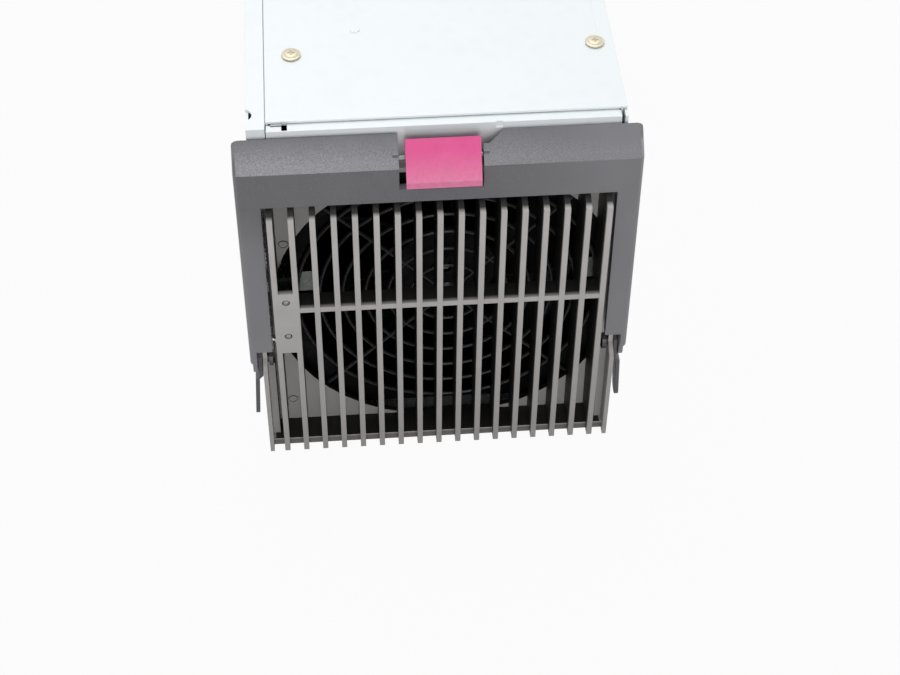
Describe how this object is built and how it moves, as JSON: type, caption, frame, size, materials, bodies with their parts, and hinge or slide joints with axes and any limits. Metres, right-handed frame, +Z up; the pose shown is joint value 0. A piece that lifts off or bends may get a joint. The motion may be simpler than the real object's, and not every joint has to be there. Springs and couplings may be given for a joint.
{
  "type": "hot-plug power supply module",
  "caption": "Steel-cased power supply module with a finned front moulding, an axial fan behind it, a swinging U-shaped handle, a press latch and rear connectors.",
  "frame": {"origin": "centre of the bounding box at its underside, midway between the cam levers and between the fins' tips and the rear connector's face", "axes": "+X to the right seen from the front, +Y from the handle towards the rear connectors, +Z up"},
  "size_m": [0.1424, 0.3052, 0.1595],
  "materials": {
    "zinc_steel": "bright zinc-plated sheet",
    "grey_moulding": "fine spark texture",
    "charcoal_moulding": "fine spark texture",
    "magenta_moulding": "satin moulding",
    "black_moulding": "satin moulding",
    "bright_steel": "bright",
    "dark_steel": "dark",
    "brass": "passivated",
    "copper": "enamelled wire and bare strip",
    "aluminium": "extruded",
    "board_green": "solder mask",
    "chip_black": "moulded",
    "clear_resin": "clear moulding",
    "foil_braid": "wrapped foil",
    "insulating_film": "film",
    "capacitor_sleeve": "shrink sleeve",
    "ferrite": "sintered",
    "winding_tape": "tape",
    "film_capacitor": "moulded",
    "ceramic": "glazed"
  },
  "bodies": {
    "case": {"chassis_tray": "zinc_steel", "front_cross_bar": "zinc_steel", "top_cover": "zinc_steel", "rear_panel": "zinc_steel", "cover_screw_1": "brass", "cover_screw_2": "brass", "cover_screw_3": "brass", "cover_screw_4": "brass", "grille_housing": "grey_moulding", "housing_screw_left": "zinc_steel", "housing_screw_right": "zinc_steel", "light_pipe_lower": "clear_resin", "light_pipe_upper": "clear_resin", "led_board": "board_green", "led_harness": "foil_braid", "fan_guard": "black_moulding", "fan_frame": "black_moulding", "fan_screw_1": "zinc_steel", "fan_screw_2": "zinc_steel", "fan_screw_3": "zinc_steel", "fan_screw_4": "zinc_steel", "fan_clip_left": "bright_steel", "fan_clip_right": "bright_steel", "fan_stator": "copper", "fan_bearing_front": "dark_steel", "fan_bearing_rear": "dark_steel", "fan_lead": "black_moulding", "pivot_pin_left": "bright_steel", "pivot_pin_right": "bright_steel", "insulation_sheet": "insulating_film", "main_board": "board_green", "primary_heat_sink": "aluminium", "secondary_heat_sink": "aluminium", "bulk_capacitor_1": "capacitor_sleeve", "bulk_capacitor_2": "capacitor_sleeve", "boost_choke": "copper", "output_inductor_1": "copper", "output_inductor_2": "copper", "transformer_core": "ferrite", "transformer_winding": "winding_tape", "filter_choke": "copper", "filter_capacitor": "film_capacitor", "mains_relay": "chip_black", "fuse": "ceramic", "control_board": "board_green", "ac_inlet": "black_moulding", "output_connector": "black_moulding", "bus_bar_positive": "copper", "bus_bar_return": "copper"},
    "fan_rotor": {"fan_impeller": "black_moulding", "fan_magnet_ring": "dark_steel", "fan_shaft": "bright_steel"},
    "handle": {"handle_frame": "charcoal_moulding", "left_cam_lever": "charcoal_moulding", "right_cam_lever": "charcoal_moulding", "latch_pin": "bright_steel", "latch_spring": "bright_steel"},
    "latch": {"release_latch": "magenta_moulding"}
  },
  "joints": [
    {"name": "handle_swing", "type": "hinge", "parent": "case", "child": "handle", "pos_m": [0, -0.1408, 0.0472], "axis": [1, 0, 0], "range_deg": [0, 60]},
    {"name": "latch_press", "type": "hinge", "parent": "handle", "child": "latch", "pos_m": [0.0014, -0.1432, 0.1454], "axis": [1, 0, 0], "range_deg": [0, 6], "stiffness_Nm_per_rad": 0.2, "springref_deg": -8.59},
    {"name": "fan_spin", "type": "hinge", "parent": "case", "child": "fan_rotor", "pos_m": [0.0044, -0.118, 0.0667], "axis": [0, 1, 0], "continuous": true}
  ]
}
